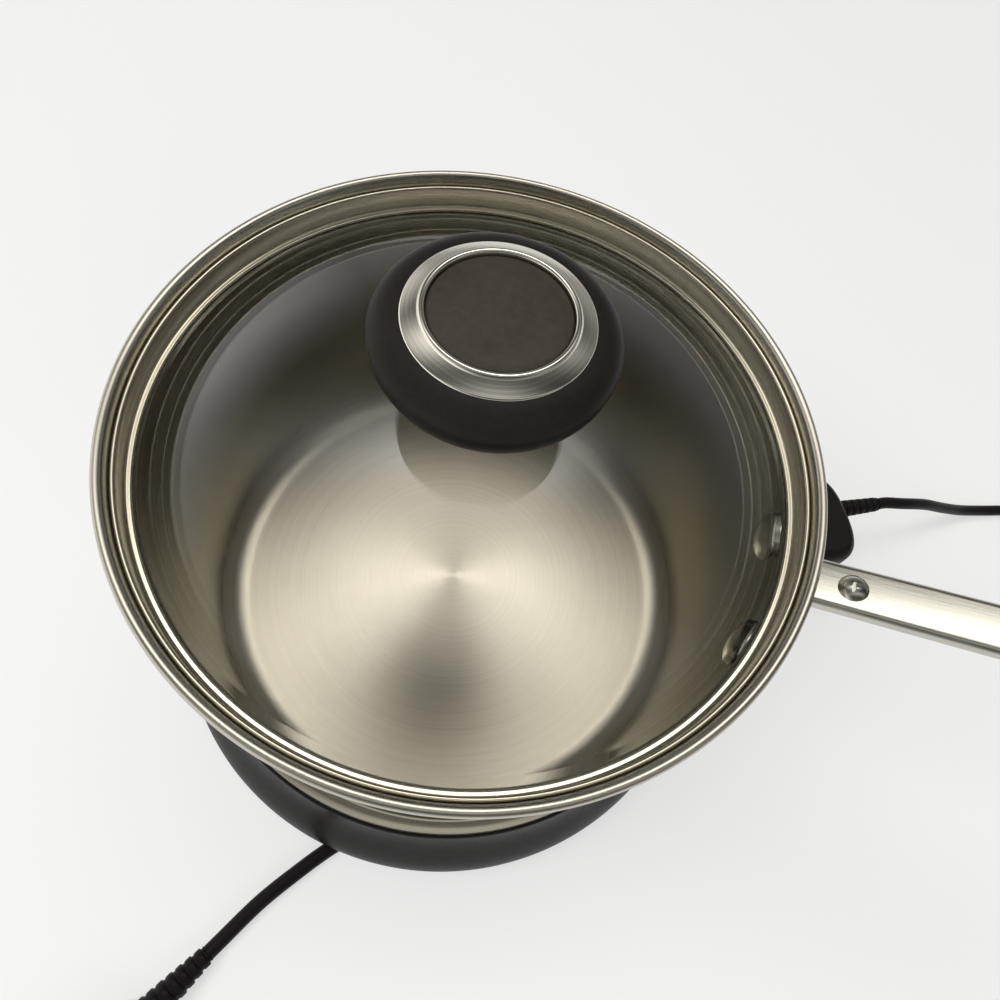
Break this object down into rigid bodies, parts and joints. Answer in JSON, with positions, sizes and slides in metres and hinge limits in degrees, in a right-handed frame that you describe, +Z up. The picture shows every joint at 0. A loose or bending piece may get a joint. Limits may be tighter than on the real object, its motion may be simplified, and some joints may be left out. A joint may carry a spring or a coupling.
{
  "type": "electric hot pot",
  "caption": "Electric hot pot: steel pot on a heated base, lift-off glass lid with a round knob, long handle, plug-in heat control with dial, cord and plug.",
  "frame": {"origin": "on the pot's axis, at the height of the table under the feet", "axes": "+Z up along the pot's axis, +X out along the handle"},
  "size_m": [0.4279, 0.4104, 0.1947],
  "materials": {
    "pot_steel": "brushed, faintly warm",
    "fittings_steel": "satin",
    "bright_ring": "polished",
    "disc_aluminium": "matt",
    "element_sheath": "dull, darkened by heat",
    "glass": "clear, polished",
    "black_moulding": "satin",
    "handle_moulding": "fine matt grain",
    "dark_insert": "fine grain",
    "socket_block": "dull, heat-proof",
    "silicone": "matt",
    "foot_rubber": "matt",
    "cord_jacket": "satin",
    "contact_brass": "bright",
    "amber_lens": "clear amber"
  },
  "bodies": {
    "base": {"pot": "pot_steel", "handle_bracket": "fittings_steel", "handle_rivets": "fittings_steel", "handle_strap": "fittings_steel", "handle_screw": "fittings_steel", "handle_nut": "fittings_steel", "handle_grip": "handle_moulding", "grip_screw": "fittings_steel", "heat_spreader": "disc_aluminium", "heating_element": "element_sheath", "terminal_pins": "fittings_steel", "probe_sleeve": "fittings_steel", "terminal_block": "socket_block", "heat_shield": "disc_aluminium", "base_studs": "fittings_steel", "base_nuts": "fittings_steel", "base_skirt": "black_moulding", "socket_shroud": "black_moulding", "deck_ring": "pot_steel", "bottom_plate": "black_moulding", "base_feet": "foot_rubber", "foot_screws": "fittings_steel"},
    "lid": {"lid_glass": "glass", "lid_band": "pot_steel", "lid_seals": "silicone", "knob_body": "black_moulding", "knob_ring": "bright_ring", "knob_insert": "dark_insert", "knob_washer": "fittings_steel", "knob_screw": "fittings_steel"},
    "control": {"control_upper": "black_moulding", "control_lower": "black_moulding", "control_nose": "socket_block", "contact_sleeves": "contact_brass", "probe_rod": "fittings_steel", "thermostat": "contact_brass", "pilot_lens": "amber_lens", "control_screws": "fittings_steel", "cord_relief": "cord_jacket", "cord": "cord_jacket", "plug_relief": "cord_jacket", "plug_body": "cord_jacket", "plug_blades": "contact_brass"},
    "dial": {"control_dial": "black_moulding", "dial_shaft": "contact_brass"}
  },
  "joints": [
    {"name": "lid_lift", "type": "slide", "parent": "base", "child": "lid", "axis": [0, 0, 1], "range_m": [0, 0.15]},
    {"name": "control_unplug", "type": "slide", "parent": "base", "child": "control", "axis": [0.829, 0.5592, 0], "range_m": [0, 0.06]},
    {"name": "dial_turn", "type": "hinge", "parent": "control", "child": "dial", "pos_m": [0.11524, 0.07773, 0.045], "axis": [0, 0, -1], "range_deg": [0, 270]}
  ]
}
